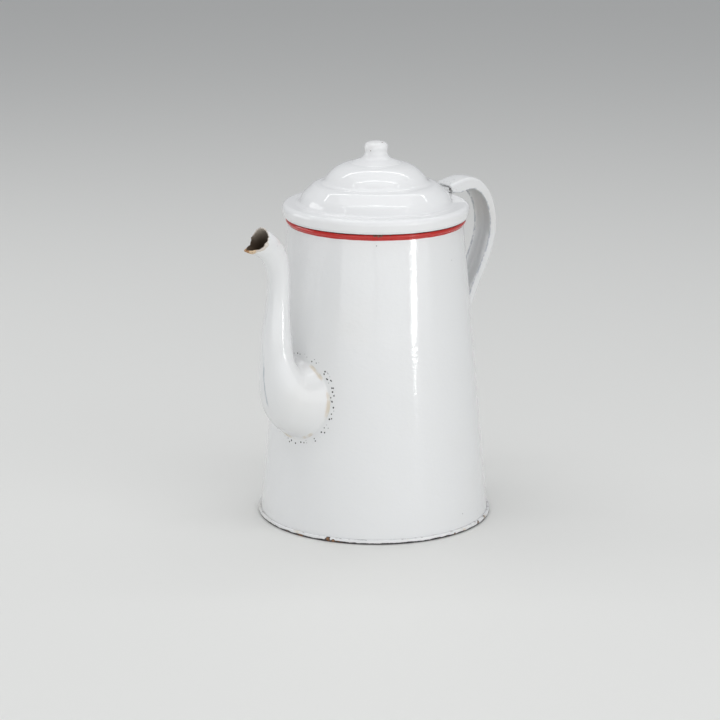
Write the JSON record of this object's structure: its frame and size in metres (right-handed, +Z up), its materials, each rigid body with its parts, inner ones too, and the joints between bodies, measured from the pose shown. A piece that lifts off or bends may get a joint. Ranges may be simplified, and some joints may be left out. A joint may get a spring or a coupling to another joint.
{
  "type": "enamel coffee pot",
  "caption": "Tapering white enamelled steel coffee pot with a gooseneck spout, a channel handle and a hinged domed lid with a knob.",
  "frame": {"origin": "on the pot's axis, in the plane it stands on", "axes": "+Z up along the pot's axis; the spout points along -X and the handle along +X; the hinge pin lies along Y"},
  "size_m": [0.2018, 0.15, 0.242],
  "materials": {
    "body_enamel": "glossy white vitreous enamel, chipped and rusty at the edges",
    "lid_enamel": "glossy white vitreous enamel",
    "pin_steel": "dull steel, lightly rusted"
  },
  "bodies": {
    "pot": {"body_shell": "body_enamel", "rim_wire": "pin_steel", "bottom_plate": "body_enamel", "spout_left_half": "body_enamel", "spout_right_half": "body_enamel", "handle": "body_enamel", "handle_bracket": "body_enamel", "hinge_pin": "pin_steel"},
    "lid": {"lid_shell": "lid_enamel", "lid_collar": "lid_enamel", "lid_hinge_loop": "lid_enamel", "knob": "lid_enamel"}
  },
  "joints": [
    {"name": "lid_hinge", "type": "hinge", "parent": "pot", "child": "lid", "pos_m": [0.0583, 0, 0.2045], "axis": [0, 1, 0], "range_deg": [0, 90]}
  ]
}
